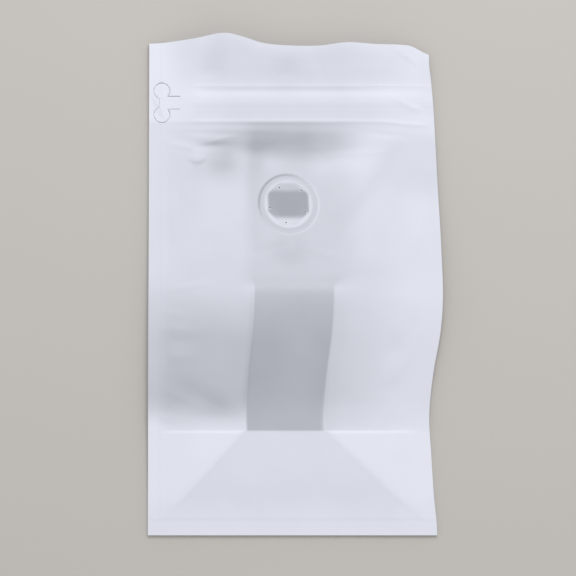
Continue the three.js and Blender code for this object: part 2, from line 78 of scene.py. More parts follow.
def hill(distance, reach):
    return math.exp(-((distance / reach) ** 2))


def curve(points):
    # the same smooth curve through [place, value] points as the frame's outlines
    places = [point[0] for point in points]
    values = [point[1] for point in points]
    last = len(points) - 1

    def at(place):
        place = clamp(place, places[0], places[-1])
        i = 1
        while i < last and place > places[i]:
            i += 1
        low, high = places[i - 1], places[i]
        before = places[i - 2] if i > 1 else 2 * low - high
        beforeValue = values[i - 2] if i > 1 else values[i]
        after = places[i + 1] if i < last else 2 * high - low
        afterValue = values[i + 1] if i < last else values[i - 1]
        half = (high - low) / 2
        a, b = half / (low - before), half / (after - high)
        p = (place - low) / (high - low)
        square, cube = p * p, p * p * p
        return ((-a * cube + 2 * a * square - a * p) * beforeValue
                + ((1 + a) * cube + (-1.5 - 2 * a) * square + (-0.5 + a) * p + 1) * values[i - 1]
                + ((-1 - b) * cube + (1.5 + b) * square + 0.5 * p) * values[i]
                + (b * cube - b * square) * afterValue)
    return at


# Outline of the flat bag
outline = dict(lean=0.003, driftEnd=(20, 56))
rightEdge = curve([(0, 0), (17, -1.4), (34, -2.5), (50, -3.3), (67, -1.7), (84, 1.2), (97, 2.2),
                   (117, 1.7), (146, 0.1), (176, -1.5), (bag["length"], -3.5)])
mouthEdge = curve([(-halfWidth, -0.1), (-47, 0.9), (-36, 2.2), (-29, 3.5), (-24, 3.9), (-17, 2.4),
                   (-9, -0.1), (6, -1.3), (15, -1.2), (26, 0.1), (38, -0.6), (49, -0.8),
                   (52.5, -1.2), (56, -2.9), (halfWidth, -4.9)])
# Below the crease the middle of the bag leans less to the right than its right edge does
middleDrift = curve([(0, 0), (30, 0), (bag["gusset"], 0.1), (61, -0.1), (84, -1.3), (104, -1.4),
                     (116, -0.5), (124, 0), (bag["length"], 0)])


def flatX(across, along):
    carried = smooth(across, -halfWidth, -halfWidth + bag["gusset"])
    drift = middleDrift(along) * fall(abs(across), *outline["driftEnd"])
    return across + carried * rightEdge(along) + (1 - carried) * outline["lean"] * along + drift


def flatY(across, along):
    return along + mouthEdge(across) * smooth(along, headerFoot, bag["length"])


# The valve and the bottom edge of the frame say where the flat bag lies
valveLow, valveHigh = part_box("valve_base")
backLow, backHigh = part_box("back_panel")
shiftX = (valveLow[0] + valveHigh[0]) / 2 / mm - flatX(valve["across"], valve["along"])
shiftY = backLow[1] / mm

# How the bag lies: its thickness from base to header, and how far its back is off the table
lie = dict(edge=1.55, belt=3.0, base=3.4, shoulder=4.4, header=6.4, swellEnd=24.0, give=2.0,
           leftLift=2.4, leftFrom=32.0, rightLift=3.4, rightFrom=24.0, middleEnd=(14.0, 42.0))
crease = dict(along=104.0, depth=0.34, half=2.5, ends=(16.0, 26.0))
leftHover = curve([(0, 0), (30, 0.25), (62, 1), (84, 0.9), (118, 0.35), (150, 0.15),
                   (bag["length"], 0.3)])
rightArch = curve([(0, 0), (44, 0.1), (70, 0.5), (96, 1), (118, 0.75), (150, 0.3), (180, 0.12),
                   (bag["length"], 0.5)])
middleLift = curve([(0, 0), (crease["along"], 0), (116, 0.7), (150, 0.8), (161, 0), (172, 0),
                    (190, 0.2), (bag["length"], 0.9)])
mouthWave = curve([(-halfWidth, 0), (-44, 0.6), (-28, 2.4), (-14, 0.6), (0, -0.4), (14, -0.3),
                   (28, 0.9), (42, 0.1), (52, 1.2), (halfWidth, 0)])
pillow = curve([
    (0, lie["edge"]), (bag["bottomSeal"], lie["edge"] + 0.2), (24, lie["base"] - 0.3),
    (bag["gusset"], lie["base"]), (54, lie["belt"] + 0.1), (70, lie["belt"]), (94, lie["belt"] + 0.3),
    (crease["along"], lie["belt"] + 0.5), (118, lie["shoulder"]), (148, lie["shoulder"] + 0.3),
    (161, 3.5), (168, 3.3), (zipperFoot, 3.7), (zipper["at"], 4.1), (headerFoot, 3.8), (195, 5.2),
    (bag["length"], lie["header"])])


def backHeight(across, along):
    left = lie["leftLift"] * leftHover(along) * smooth(-across, lie["leftFrom"], halfWidth)
    right = lie["rightLift"] * rightArch(along) * smooth(across, lie["rightFrom"], halfWidth)
    middle = middleLift(along) * fall(abs(across), *lie["middleEnd"])
    return bag["film"] / 2 + max(0.0, left + right + middle)


def fromValve(across, along):
    return math.hypot(across - valve["across"], along - valve["along"])


def smoothFront(across, along):
    # the front film without its small creases
    inward, give = halfWidth - abs(across), lie["give"]
    swell = smooth(inward, bag["sideSeal"] - give, lie["swellEnd"])
    thickness = mix(lie["edge"], pillow(along), swell)
    wave = mouthWave(across) * smooth(along, headerFoot + give, bag["length"] + give) * swell
    dent = crease["depth"] * hill(along - crease["along"], crease["half"])
    dent *= fall(abs(across), *crease["ends"])
    skirt = valve["skirt"] * (1 + valve["skirtGrowth"] * hill(across, valve["skirtReach"]))
    boss = fall(fromValve(across, along) - valveEdge, 0, skirt)
    return mix(backHeight(across, along) + thickness + wave - dent, valve["height"], boss)


def zipperShare(across):
    # 1 where the zipper is whole, less where the side seals crush it
    start = zipper["leftStart"] if across < 0 else bag["sideSeal"]
    return mix(zipper["crushed"], 1, clamp((halfWidth - abs(across) - start) / zipper["ramp"]))


def zipperRoom(across, along):
    depth = 2 * zipper["tape"] + zipper["rib"] + zipper["running"] + bag["weldGap"]
    inside = fall(abs(along - zipper["at"]) - zipper["half"], *zipper["roomEnd"])
    return inside * (zipperShare(across) * depth + zipper["clearance"])


# Inner layers: the film they lie against (1 front, -1 back), films from it, shares of air from it
layerPlace = dict(sideUpper=(1, 1, 1.7), tuckUpper=(1, 2, 1.9), baseUpper=(1, 3, 2.1),
                  baseLower=(-1, 3, 1.6), tuckLower=(-1, 2, 1.4), sideLower=(-1, 1, 1))
air = dict(filmsBetween=7, edgeShare=0.02, middleShare=0.25, middleFrom=16.0)


def layerHeight(layer, across, along):
    front, back, room = smoothFront(across, along), backHeight(across, along), zipperRoom(across, along)
    free = max(front - back - room - air["filmsBetween"] * pitch, 0)
    middle = smooth(halfWidth - abs(across), bag["sideSeal"], air["middleFrom"])
    share = mix(air["edgeShare"], air["middleShare"], middle) * free
    side, films, shares = layerPlace[layer]
    if side > 0:
        return front - room - films * pitch - share * shares
    return back + films * pitch + share * shares


# Creases of the front film: middle across and along, turn in degrees, half length, half width, height
creases = [
    (-38, 162.5, -8, 11, 1.8, -0.55), (-24, 163.5, 8, 12, 2.2, -0.5),    # under the zipper
    (-30, 158, -20, 8, 3.2, -0.4),
    (-47, 80.5, 2, 8, 2.4, -0.5), (-48, 74, 0, 8, 2.4, 0.45),            # left side
    (-38, 60.5, -24, 12, 3.2, -0.2),
    (42, 77, 85, 5, 3, -0.5), (43, 60.6, 85, 4, 3, -0.4),                # right side
    (34, 144, 58, 20, 4, -0.5),                                          # right of the valve
    (-31, 193, 30, 7, 4, -0.5), (1, 193, 60, 6, 4, -0.45),               # mouth
]
fineCreases = [
    (-43, 160.6, -12, 5, 0.8, 0.26), (-32, 163.6, 14, 9, 0.7, 0.3),      # under the zipper
    (-41.5, 155.4, 55, 2.6, 0.8, -0.3), (-38.5, 154.2, 60, 3.0, 0.8, 0.3),
    (-35.4, 155.6, 60, 2.6, 0.7, -0.22), (-27, 151.5, 20, 5, 2.4, -0.25),
    (-44, 103, 8, 7, 1.4, 0.2), (-50, 92, -6, 5, 1.3, 0.22),             # left side
    (-49, 85.5, 0, 7, 1.2, 0.24), (-46, 57.5, -24, 8, 1.4, 0.26),
    (-33, 55.5, -18, 8, 1.6, -0.22), (-51, 48.5, -4, 6, 1.3, 0.24),
    (45.5, 68.5, 80, 5, 1.6, 0.3), (40.5, 52.5, 60, 5, 1.6, -0.2),       # right side
    (48.5, 86, 96, 6, 1.4, -0.24),
    (24, 158, 4, 14, 1.1, 0.18), (40, 166, -6, 10, 1.2, -0.22),          # right of the valve
    (26, 128, 62, 12, 2, 0.2),
    (48, 179, -28, 5, 1.0, 0.45), (53, 177, -10, 3.5, 0.9, 0.4),         # right end of the zipper
    (-24, 196, 72, 5, 1.4, 0.3), (14, 196, 98, 5, 1.6, -0.22),           # mouth
    (42, 197, 84, 5, 1.5, 0.26), (50.5, 199.5, -38, 5, 0.7, 0.5),
    (-52, 120, 88, 12, 1.6, -0.16), (-50, 139, 92, 8, 1.4, 0.16),        # both sides of the valve
    (50, 118, 88, 14, 1.7, 0.2),
    (-10, 119, 12, 8, 1.5, -0.18), (11, 117, -18, 8, 1.5, 0.16),         # under the valve
    (0, 160.5, 0, 17, 1.2, 0.2),                                         # over the valve
]
farOff = 3      # a mark is left out where its share is under a thousandth


def marksAt(marks, across, along):
    # the sum of soft oval marks, as creases or as shades
    total = 0.0
    for middleAcross, middleAlong, turn, length, width, amount in marks:
        x, y = across - middleAcross, along - middleAlong
        if abs(x) + abs(y) < farOff * (length + width):
            cosine, sine = math.cos(math.radians(turn)), math.sin(math.radians(turn))
            total += amount * hill(x * cosine + y * sine, length) * hill(y * cosine - x * sine, width)
    return total


# Steps of the front film over the folded layers underneath
step = dict(gusset=0.3, gussetFrom=9.0, gussetSide=14.0, gussetEnd=(-8.0, 6.0), corner=0.35,
            slant=(-1.0, 2.0), cornerSide=6.0, fold=1.2, foldOver=0.2, baseLine=0.05, baseLineHalf=0.7)


def layerSteps(across, along):
    inward = halfWidth - abs(across)
    fold = (bag["gusset"] - step["fold"], bag["gusset"] + step["foldOver"])
    gusset = step["gusset"] * fall(inward, *fold) * smooth(inward, bag["sideSeal"], step["gussetSide"])
    gusset *= smooth(along, bag["gusset"], bag["gusset"] + step["gussetFrom"])
    gusset *= fall(along - crease["along"], *step["gussetEnd"])
    corner = step["corner"] * smooth(along - inward, *step["slant"]) * fall(along, *fold)
    corner *= smooth(inward, bag["sideSeal"] - lie["give"], bag["sideSeal"] + step["cornerSide"])
    return gusset + corner + step["baseLine"] * hill(along - bag["gusset"], step["baseLineHalf"])


# Raised lines over the zipper: place above its middle, half width, share of the full height
ridge = dict(height=0.3, leftFrom=(-44.0, -37.0), leftShare=0.22, sideFrom=1.0,
             lower=0.75, lowerHalf=0.8, bend=1.6, bendFrom=(34.0, 58.0))
ridgeLines = [(3.0, 2.0, 0.6), (zipper["half"], 0.6, 0.25), (0.0, 0.8, 0.2), (3.4, 0.6, 0.12)]


def zipperRidges(across, along):
    above = along - zipper["at"]
    lines = sum(share * hill(above - place, half) for place, half, share in ridgeLines)
    bend = ridge["bend"] * smooth(across, *ridge["bendFrom"])
    lines += ridge["lower"] * hill(above + zipper["half"] + bend, ridge["lowerHalf"])
    shown = mix(ridge["leftShare"], 1, smooth(across, *ridge["leftFrom"]))
    shown *= smooth(halfWidth - abs(across), ridge["sideFrom"], bag["sideSeal"])
    return ridge["height"] * lines * shown


seal = dict(sideLine=0.05, bottomLine=0.07, lineHalf=0.45, press=0.05, edge=0.7)


def sealPress(across, along):
    # the seals are pressed a little lower, with a thin raised line at their inner edge
    height = 0.0
    for beyond, line in ((halfWidth - abs(across) - bag["sideSeal"], seal["sideLine"]),
                         (along - bag["bottomSeal"], seal["bottomLine"])):
        height += line * hill(beyond, seal["lineHalf"]) - seal["press"] * fall(beyond, -seal["edge"], 0)
    return height


weldRings = [(valve["chamber"] + 0.6, 0.45), (valve["flange"] - 0.1, 0.4)]     # radius, half width


def valveRelief(radius):
    # the film sags into the chamber and carries two weld rings
    rings = sum(valve["bead"] * hill(radius - ring, half) for ring, half in weldRings)
    return rings - valve["sag"] * fall(radius - valve["chamber"], *valve["sagEdge"])


# Uneven film: size across and along, place in the noise, height
ripples = [(17, 21, 0.4, 0.1), (6, 8, 7.1, 0.045)]
# Where creases, fine creases and the rest fade: beyond the valve, from the sides and off the zipper
fade = dict(creaseValve=6.0, creaseSide=12.0, creaseZipper=(1.0, 5.0), fineValve=4.0, fineSide=(2.0, 7.0),
            fineZipper=(-0.5, 3.5), fineOnZipper=0.6, restValve=5.0, rippleSide=(1.0, 9.0))


def rippleAt(across, along):
    return sum(height * noise.noise(Vector((across / wide, along / tall, place)))
               for wide, tall, place, height in ripples)


def frontHeight(across, along):
    inward, radius = halfWidth - abs(across), fromValve(across, along)
    if radius < valveEdge:
        return valve["height"] + valveRelief(radius)
    offZipper = abs(along - zipper["at"]) - zipper["half"]
    large = marksAt(creases, across, along) * smooth(inward, bag["sideSeal"], fade["creaseSide"])
    large *= smooth(radius, valveEdge, valve["flange"] + fade["creaseValve"])
    large *= smooth(offZipper, *fade["creaseZipper"])
    fine = marksAt(fineCreases, across, along) * smooth(inward, *fade["fineSide"])
    fine *= smooth(radius, valveEdge, valve["flange"] + fade["fineValve"])
    fine *= mix(fade["fineOnZipper"], 1, smooth(offZipper, *fade["fineZipper"]))
    rest = layerSteps(across, along) + zipperRidges(across, along)
    rest += rippleAt(across, along) * smooth(inward, *fade["rippleSide"])
    rest *= smooth(radius, valveEdge, valve["flange"] + fade["restValve"])
    return smoothFront(across, along) + large + fine + rest + sealPress(across, along)


def spot(layer, across, along):
    if layer == "front":
        height = frontHeight(across, along)
    elif layer == "back":
        height = backHeight(across, along)
    else:
        height = layerHeight(layer, across, along)
    return Vector((flatX(across, along) + shiftX, flatY(across, along) + shiftY, height)) * mm


def foldSpot(upper, lower, across, along):
    return (spot(upper, across, along) + spot(lower, across, along)) / 2


# Painted shade on the front film, from 0 to 1: how much of what is dark beneath shows through, and painted
# shade of its folds
# The base gets painted see-through shade, lighter at its foot and in its tucked corners
base = dict(foot=0.08, middle=0.16, corner=0.0, footEnd=(6, 19), slant=(-1.2, 1.4), sealLine=0.05,
            sealHalf=0.6, sealSide=(3, 9))


def basePaintedShade(across, along):
    inward = halfWidth - abs(across)
    paintedShade = mix(base["middle"], base["corner"], smooth(along - inward, *base["slant"]))
    paintedShade = mix(base["foot"], paintedShade, smooth(along, *base["footEnd"]))
    line = base["sealLine"] * hill(along - bag["bottomSeal"], base["sealHalf"])
    return paintedShade + line * smooth(inward, *base["sealSide"])


# The window is the middle stripe, where no gusset backs the film, painted with the darkest see-through
# shade
window = dict(edge=0.4, leftAbove=7.0, rightAbove=14.0, inside=(0.5, 1.2), softens=(-1, 5),
              narrowed=0.6, narrowEnd=(43, 80))
windowFade = curve([(bag["gusset"], 0.78), (52, 0.84), (58, 0.91), (80, 0.92), (90, 0.82), (96.8, 0.72),
                    (101.7, 0.6), (103.6, 0.46), (105.2, 0.37), (107, 0.35), (120, 0.33), (134, 0.4),
                    (150, 0.38), (162, 0.3), (172, 0.24), (bag["length"], 0.22)])


def windowShare(across, along):
    above = smooth(along - crease["along"], *window["softens"])
    soft = mix(window["edge"], window["leftAbove"] if across < 0 else window["rightAbove"], above)
    inward = halfWidth - abs(across) - window["narrowed"] * fall(along, *window["narrowEnd"])
    return smooth(inward, bag["gusset"] - soft, bag["gusset"] + mix(*window["inside"], above))


# The sides are backed by the gussets and painted with lighter see-through shade, with painted shade at the
# right fold
side = dict(belt=(-14, 4), leftPaler=0.14, leftEdge=(1, 10), leftEnd=(84, 100),
            rightBelow=0.4, rightAbove=0.85, rightChange=(96, 116), rightEdge=6, rightInner=4,
            fold=0.1, foldAt=0.5, foldHalf=5)
leftFade = curve([(bag["gusset"], 0.12), (47, 0.22), (51, 0.46), (56, 0.68), (64, 0.7), (72, 0.68),
                  (82, 0.66), (90, 0.52), (98, 0.38), (106, 0.25), (125, 0.21), (bag["length"], 0.2)])
rightFade = curve([(bag["gusset"], 0.2), (50, 0.3), (58, 0.42), (78, 0.42), (95, 0.32), (106, 0.24),
                   (150, 0.21), (bag["length"], 0.16)])


def inBelt(along):
    return fall(along - crease["along"], *side["belt"])


def sidePaintedShade(across, along):
    inward = halfWidth - abs(across)
    if across < 0:
        paler = side["leftPaler"] * fall(inward, *side["leftEdge"]) * fall(along, *side["leftEnd"])
        return leftFade(along) - paler
    outer = mix(side["rightBelow"], side["rightAbove"], smooth(along, *side["rightChange"]))
    shade = mix(outer, 1, smooth(inward, side["rightEdge"], bag["gusset"] - side["rightInner"]))
    fold = side["fold"] * inBelt(along) * hill(inward - bag["gusset"] + side["foldAt"], side["foldHalf"])
    return rightFade(along) * shade + fold


# Painted shade: a dark band where the film bends down under the zipper
band = dict(dark=0.46, left=(-42, -12), right=(12, 36), core=0.15, coreLeft=(-20, -14), coreRight=(4, 14),
            foot=156, valveFoot=149, valveAt=3, valveHalf=14, top=162.5, paler=0.42, palerFrom=(165.5, 169))


def bandPaintedShade(across, along):
    dark = band["dark"] * smooth(across, *band["left"]) * fall(across, *band["right"])
    dark += band["core"] * smooth(across, *band["coreLeft"]) * fall(across, *band["coreRight"])
    foot = mix(band["foot"], band["valveFoot"], hill(across - band["valveAt"], band["valveHalf"]))
    return dark * smooth(along, foot, band["top"]) * (1 - band["paler"] * smooth(along, *band["palerFrom"]))


# Small dimple left under the zipper: painted shade on its lower rim round a painted highlight in its paler
# middle
dimple = dict(across=-39.8, along=157.4, stretch=1.15, rim=3.0, rimHalf=0.8, dark=0.26, rimTop=156.8,
              rimSoft=2, pale=0.1, paleHalf=2.0)


def dimplePaintedShade(across, along):
    out = math.hypot((across - dimple["across"]) / dimple["stretch"], along - dimple["along"])
    dark = dimple["dark"] * hill(out - dimple["rim"], dimple["rimHalf"])
    dark *= smooth(dimple["rimTop"] - along, 0, dimple["rimSoft"])
    return dark - dimple["pale"] * hill(out, dimple["paleHalf"])


# Long soft lines of painted shade: the left gusset's inner fold, a streak at the left side, an arc under
# the valve
upperFold = dict(across=-17.5, half=2.5, dark=0.06, start=(110, 150), end=(156, 164))
lowerFold = dict(across=-16.9, lean=0.02, leanAt=74, half=1.1, dark=0.1, start=(50, 60))
streak = dict(across=-36.5, along=59.5, straight=9, slope=0.42, half=4.5, dark=0.07)
arc = dict(across=-2, along=120.5, radius=4, half=5, width=12, dark=0.1)
rightShade = dict(dark=0.13, side=(30, 44), start=(134, 150), end=(162, 169))


def linePaintedShade(across, along):
    paintedShade = upperFold["dark"] * hill(across - upperFold["across"], upperFold["half"])
    paintedShade *= smooth(along, *upperFold["start"]) * fall(along, *upperFold["end"])
    lowerAt = lowerFold["across"] - lowerFold["lean"] * (along - lowerFold["leanAt"])
    lower = lowerFold["dark"] * hill(across - lowerAt, lowerFold["half"])
    paintedShade += lower * smooth(along, *lowerFold["start"]) * inBelt(along)
    fromStreak = across - streak["across"]
    beyond = max(0.0, abs(fromStreak) - streak["straight"])
    beside = along - streak["along"] + streak["slope"] * fromStreak
    paintedShade += streak["dark"] * hill(math.hypot(beyond, beside), streak["half"])
    fromArc = across - arc["across"]
    onArc = math.hypot(fromArc, along - arc["along"]) - arc["radius"]
    paintedShade += arc["dark"] * hill(onArc, arc["half"]) * hill(fromArc, arc["width"])
    shade = rightShade["dark"] * smooth(across, *rightShade["side"])
    return paintedShade + shade * smooth(along, *rightShade["start"]) * fall(along, *rightShade["end"])


# Soft painted shades and highlights, laid out as the creases are, with a share of the painted shade in
# place of the height
bodyShades = [
    (-33, 162.4, 2.86, 9.9, 1.3, 0.3), (-18, 161.8, 0, 12, 2.2, 0.1),    # wrinkle under the zipper
    (-32, 167.4, 0, 15.6, 1.0, 0.12), (-20, 169.3, 0, 18, 0.6, -0.08),   # thin lines over it
    (-20, 165.6, 0, 18, 0.5, -0.08),
    (-28.5, 154.4, 0, 7.75, 6.2, 0.36), (-35, 154, 0, 13.5, 9, 0.17),    # hollow left of the valve
    (-14.5, 155.5, 0, 3.6, 5.76, 0.2),
    (32, 145, 48.65, 20, 5, 0.08),                                       # slope right of the valve
    (-28, 52, 0, 9.36, 3.6, 0.14),                                       # left of the window's foot
    (5, 71, 0, 8, 17.6, -0.1),                                           # paler middle of the window
]


def bodyPaintedShade(across, along):
    paintedShade = mix(sidePaintedShade(across, along), windowFade(along), windowShare(across, along))
    paintedShade += bandPaintedShade(across, along) + dimplePaintedShade(across, along) + linePaintedShade(across, along)
    return paintedShade + marksAt(bodyShades, across, along)


# The header, with painted highlight and shade lines over the zipper: place along, half width, share of the
# painted shade
head = dict(leftEdge=0.05, rightEdge=0.12, middle=0.23, middleFrom=(8, 42), zipperFrom=(-44, -36),
            shadow=0.16, shadowAt=185.1, shadowHalf=1.0)
headLines = [(182, 2.0, -0.05), (186.6, 0.4, -0.08), (176, 2.6, 0.06), (179.4, 0.4, 0.05),
             (177.8, 0.4, 0.05)]
headShades = [(-31, 193, 0, 6, 5, 0.1), (0, 193, 0, 6, 6, 0.1)]


def headPaintedShade(across, along):
    centre = smooth(halfWidth - abs(across), *head["middleFrom"])
    paintedShade = mix(head["leftEdge"] if across < 0 else head["rightEdge"], head["middle"], centre)
    lines = sum(share * hill(along - place, half) for place, half, share in headLines)
    lines += head["shadow"] * hill(along - head["shadowAt"], head["shadowHalf"]) * centre
    return paintedShade + lines * smooth(across, *head["zipperFrom"]) + marksAt(headShades, across, along)


# The chamber shows as a dark octagon of painted see-through shade with paler ends, inside a rim with
# painted shade and highlight as if lit from the lower right
octagon = dict(up=0.6, halfAcross=8.5, halfAlong=8.8, corner=12.3, edge=(0.93, 1.05), dark=1.05,
               paler=0.012, upper=0.5, upperFrom=(3.8, 6.2), lower=0.32, lowerFrom=(4.8, 7.6), around=0.16)
rim = dict(film=0.48, soft=0.3, chamber=(-0.4, 0.3), dark=0.6, darkAt=-0.1, darkHalf=0.42,
           darkFrom=(0.5, 0.95), pale=0.2, paleAt=0.3, paleHalf=0.45, paleFrom=(0.35, 0.9),
           inner=0.3, innerAt=0.2, innerHalf=0.45, turn=1.5)


def chamberPaintedShade(x, y):
    out = max(abs(x) / octagon["halfAcross"], abs(y + octagon["up"]) / octagon["halfAlong"],
              (abs(x) + abs(y)) / octagon["corner"])
    dark = octagon["dark"] - octagon["paler"] * math.hypot(x, y)
    dark = mix(dark, octagon["upper"], smooth(y, *octagon["upperFrom"]))
    dark = mix(dark, octagon["lower"], smooth(-y, *octagon["lowerFrom"]))
    return mix(octagon["around"], dark, fall(out, *octagon["edge"]))


def valvePaintedShade(across, along, around):
    x, y = across - valve["across"], along - valve["along"] - octagon["up"]
    fromFlange, fromChamber = (fromValve(across, along) - valve[ring] for ring in ("flange", "chamber"))
    upperLeft = 0.5 + 0.5 * (y - x) / max(rim["turn"] * math.hypot(x, y), 0.01)
    paintedShade = mix(around, rim["film"], fall(fromFlange, -rim["soft"], rim["soft"]))
    dark = rim["dark"] * hill(fromFlange - rim["darkAt"], rim["darkHalf"])
    pale = rim["pale"] * hill(fromFlange - rim["paleAt"], rim["paleHalf"])
    paintedShade += dark * smooth(upperLeft, *rim["darkFrom"]) - pale * smooth(1 - upperLeft, *rim["paleFrom"])
    paintedShade -= rim["inner"] * hill(fromChamber - rim["innerAt"], rim["innerHalf"])
    return mix(paintedShade, chamberPaintedShade(x, y), fall(fromChamber, *rim["chamber"]))


# Shade of the tab's waist, between its two lobes
waist = dict(across=-56.4, along=177.1, lean=0.53, straight=2.4, stretch=0.4, half=0.9, dark=0.16)


def waistPaintedShade(across, along):
    above = along - waist["along"]
    beside = across - waist["across"] + waist["lean"] * above
    beyond = waist["stretch"] * max(0.0, abs(above) - waist["straight"])
    return waist["dark"] * hill(math.hypot(beside, beyond), waist["half"])


# Where one part of the painted shade gives way to the next, and the faint cloudiness over all of it
paintedShadeJoin = dict(base=(-0.5, 0.4), head=(170.4, 172.6), valve=1.0, cloud=0.02, cloudSize=9, cloudPlace=3)


def paintedShadeAt(across, along):
    paintedShade = mix(bodyPaintedShade(across, along), headPaintedShade(across, along), smooth(along, *paintedShadeJoin["head"]))
    paintedShade = mix(paintedShade, basePaintedShade(across, along), fall(along - bag["gusset"], *paintedShadeJoin["base"]))
    if fromValve(across, along) < valve["flange"] + paintedShadeJoin["valve"]:
        paintedShade = valvePaintedShade(across, along, paintedShade)
    place = Vector((across / paintedShadeJoin["cloudSize"], along / paintedShadeJoin["cloudSize"], paintedShadeJoin["cloudPlace"]))
    return clamp(paintedShade + waistPaintedShade(across, along) + paintedShadeJoin["cloud"] * noise.noise(place))


# Grid lines of the films
def spread(marks):
    # marks are [place, step up to the next mark]
    lines = []
    for (low, size), (high, _) in zip(marks, marks[1:]):
        count = max(1, round((high - low) / size))
        lines += [low + (high - low) * i / count for i in range(count)]
    return lines + [marks[-1][0]]


def mirrored(lines):
    return lines + [2 * bag["gusset"] - line for line in reversed(lines[:-1])]


windowEdge = halfWidth - bag["gusset"]
frontAcross = spread([
    (-halfWidth, 0.7), (-54.8, 0.4), (-54, 1.15),                        # left seal
    (-windowEdge - 1.4, 0.35), (-windowEdge + 0.7, 0.55), (11, 1.1),     # window and valve
    (windowEdge - 0.7, 0.35), (windowEdge + 1.4, 1.15),
    (54, 0.4), (54.8, 0.7), (halfWidth, 1)])                             # right seal
frontAlong = spread([
    (0, 0.6), (8, 1.2),                                                  # bottom seal
    (42, 0.35), (44.6, 1.2),                                             # base fold
    (100, 0.7), (108, 1.2),                                              # crease
    (122.5, 0.55), (152, 0.9),                                           # valve
    (160, 0.7), (169.6, 0.4), (173.5, 0.9), (176.6, 0.45),               # zipper
    (180.4, 0.7), (184.8, 0.35), (187.4, 1.0), (bag["length"], 1)])
plainAcross = spread([(-halfWidth, 2.0), (halfWidth, 1)])
plainAlong = spread([(0, 2.4), (bag["length"], 1)])
gussetLines = spread([(0, 2.8), (bag["sideSeal"], 2.6), (bag["gusset"] - step["fold"], 0.4),
                      (bag["gusset"], 1)])
gussetAlong = gussetLines + spread([(bag["gusset"], 2.4), (bag["length"], 1)])[1:]


def deselectAll():
    bpy.ops.object.select_all(action="DESELECT")


def apply(piece, kind, **settings):
    deselectAll()
    piece.select_set(True)
    bpy.context.view_layer.objects.active = piece
    modifier = piece.modifiers.new(kind.title(), kind)
    for key, value in settings.items():
        setattr(modifier, key, value)
    bpy.ops.object.modifier_apply(modifier=modifier.name)


def filmGrid(name, columns, rows, place, paintedShade=None):
    # a flat grid whose points are moved to their places on the folded film
    deselectAll()
    bpy.ops.mesh.primitive_grid_add(x_subdivisions=len(columns) - 1, y_subdivisions=len(rows) - 1, size=2)
    piece = bpy.context.active_object
    piece.name = name
    piece.data.name = name
    shades = [0.0] * len(piece.data.vertices)
    for vertex in piece.data.vertices:
        i = round((vertex.co.x + 1) / 2 * (len(columns) - 1))
        j = round((vertex.co.y + 1) / 2 * (len(rows) - 1))
        vertex.co = place(columns[i], rows[j])
        if paintedShade:
            shades[vertex.index] = paintedShade(columns[i], rows[j])
    if paintedShade:
        piece.data.attributes.new("paintedShade", "FLOAT", "POINT").data.foreach_set("value", shades)
    return piece


sharpFold = math.radians(50)


def makeClosed(piece, thickness):
    apply(piece, "SOLIDIFY", thickness=thickness * mm, offset=0.0, use_even_offset=False)
    bpy.ops.object.mode_set(mode="EDIT")
    bpy.ops.mesh.select_all(action="SELECT")
    bpy.ops.mesh.normals_make_consistent(inside=False)
    bpy.ops.object.mode_set(mode="OBJECT")
    bpy.ops.object.shade_smooth_by_angle(angle=sharpFold)


def addPiece(piece, node, material):
    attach(piece, "root")
    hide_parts(node)
    piece.data.materials.clear()
    piece.data.materials.append(material)


# Materials
def newMaterial(name, look):
    material = bpy.data.materials.new(name)
    material.use_nodes = True
    principled = material.node_tree.nodes["Principled BSDF"]
    principled.inputs["Roughness"].default_value = look["roughness"]
    principled.inputs["Specular IOR Level"].default_value = look["specular"]
    return material, material.node_tree, principled


def srgb(red, green, blue):
    linear = [(value / 255 / 12.92) if value <= 10 else ((value / 255 + 0.055) / 1.055) ** 2.4
              for value in (red, green, blue)]
    return (*linear, 1)


def grainOf(tree, scale, detail):
    place = tree.nodes.new("ShaderNodeTexCoord")
    grain = tree.nodes.new("ShaderNodeTexNoise")
    grain.inputs["Scale"].default_value = scale
    grain.inputs["Detail"].default_value = detail
    tree.links.new(place.outputs["Object"], grain.inputs["Vector"])
    return grain


def linkBump(tree, principled, grain, look):
    bump = tree.nodes.new("ShaderNodeBump")
    bump.inputs["Strength"].default_value = look["bump"]
    bump.inputs["Distance"].default_value = look["bumpDepth"]
    tree.links.new(grain.outputs["Fac"], bump.inputs["Height"])
    tree.links.new(bump.outputs["Normal"], principled.inputs["Normal"])


def colourBetween(tree, principled, factor, first, second):
    blend = tree.nodes.new("ShaderNodeMix")
    blend.data_type = "RGBA"
    blend.inputs["A"].default_value = srgb(*first)
    blend.inputs["B"].default_value = srgb(*second)
    tree.links.new(factor, blend.inputs["Factor"])
    tree.links.new(blend.outputs["Result"], principled.inputs["Base Color"])


def stretched(tree, grain, low, high):
    # the grain's middle tones, stretched from low to high
    reach = tree.nodes.new("ShaderNodeMapRange")
    reach.inputs["From Min"].default_value = 0.3
    reach.inputs["From Max"].default_value = 0.7
    reach.inputs["To Min"].default_value = low
    reach.inputs["To Max"].default_value = high
    tree.links.new(grain.outputs["Fac"], reach.inputs["Value"])
    return reach.outputs["Result"]


filmLook = dict(white=(232, 235, 246), seeThroughShade=(166, 169, 178), roughness=0.5, roughest=(0.46, 0.58),
                specular=0.35, sheen=0.08, cloud=55, cloudDetail=3.0, cloudShare=0.02,
                grain=1400, grainDetail=2.0, bump=0.12, bumpDepth=0.00004)


